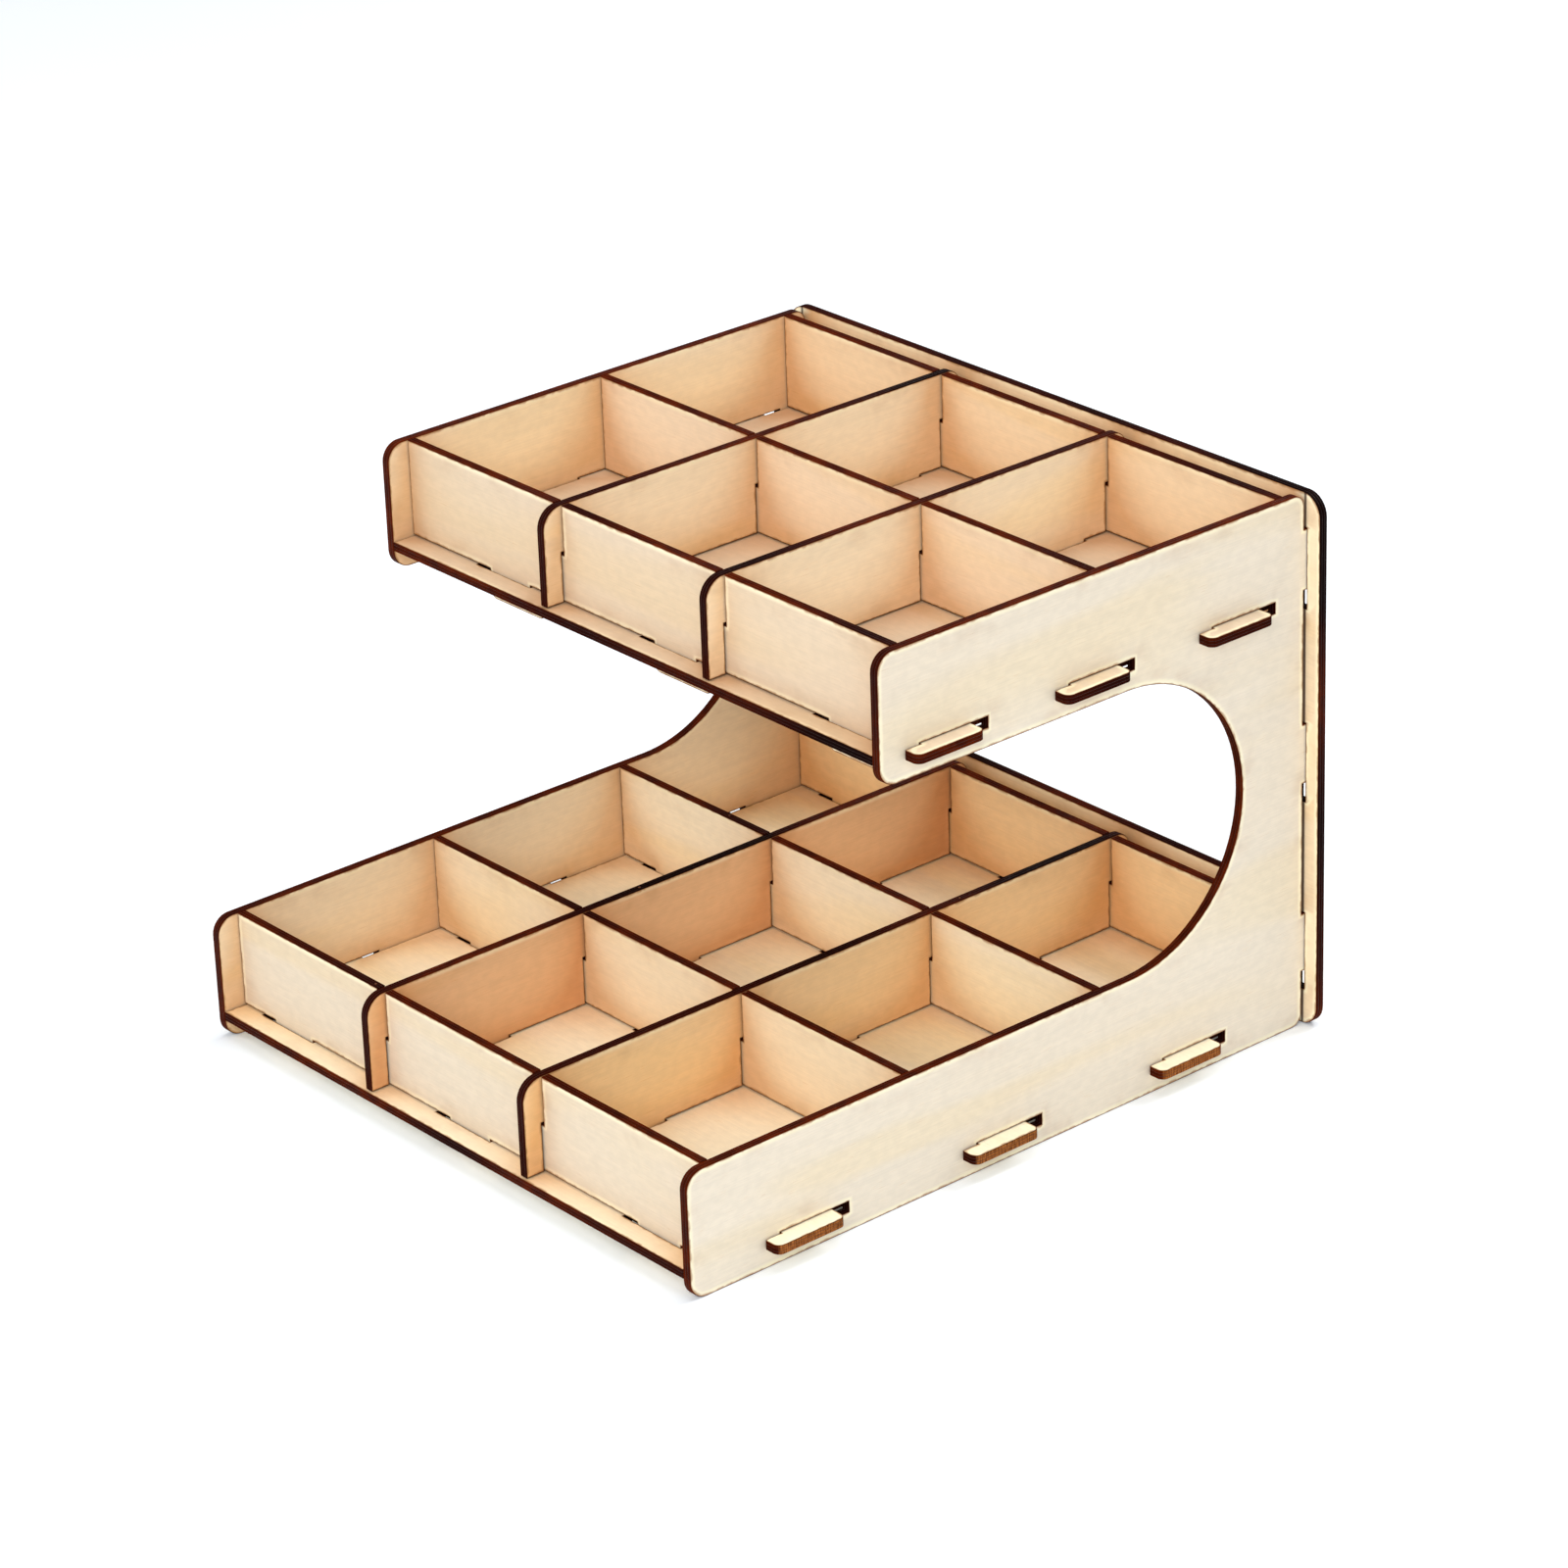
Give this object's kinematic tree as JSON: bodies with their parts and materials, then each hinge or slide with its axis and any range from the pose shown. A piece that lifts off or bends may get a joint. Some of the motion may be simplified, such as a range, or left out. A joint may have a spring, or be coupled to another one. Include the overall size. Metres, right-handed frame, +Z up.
{
  "type": "paint rack organizer",
  "caption": "Two-tier desk rack of slotted plywood with open square compartments for paint pots; the upper tray steps back over the lower one between C-shaped sides.",
  "frame": {"origin": "centre of the bounding box in X and Y, on the surface that the rack stands on", "axes": "+X to the rack's right seen from the front, +Y from the front to the back panel, +Z up"},
  "size_m": [0.24, 0.2538, 0.176],
  "materials": {
    "plywood": "bare pale basswood veneer faces with dark laser-burnt edges, unvarnished and matte"
  },
  "bodies": {
    "root": {"left_side_panel": "plywood", "right_side_panel": "plywood", "back_panel": "plywood", "lower_floor": "plywood", "lower_front_panel": "plywood", "lower_cross_divider_front": "plywood", "lower_cross_divider_rear": "plywood", "lower_rear_panel": "plywood", "lower_long_divider_left": "plywood", "lower_long_divider_right": "plywood", "upper_floor": "plywood", "upper_front_panel": "plywood", "upper_cross_divider": "plywood", "upper_rear_panel": "plywood", "upper_long_divider_left": "plywood", "upper_long_divider_right": "plywood"}
  },
  "joints": []
}
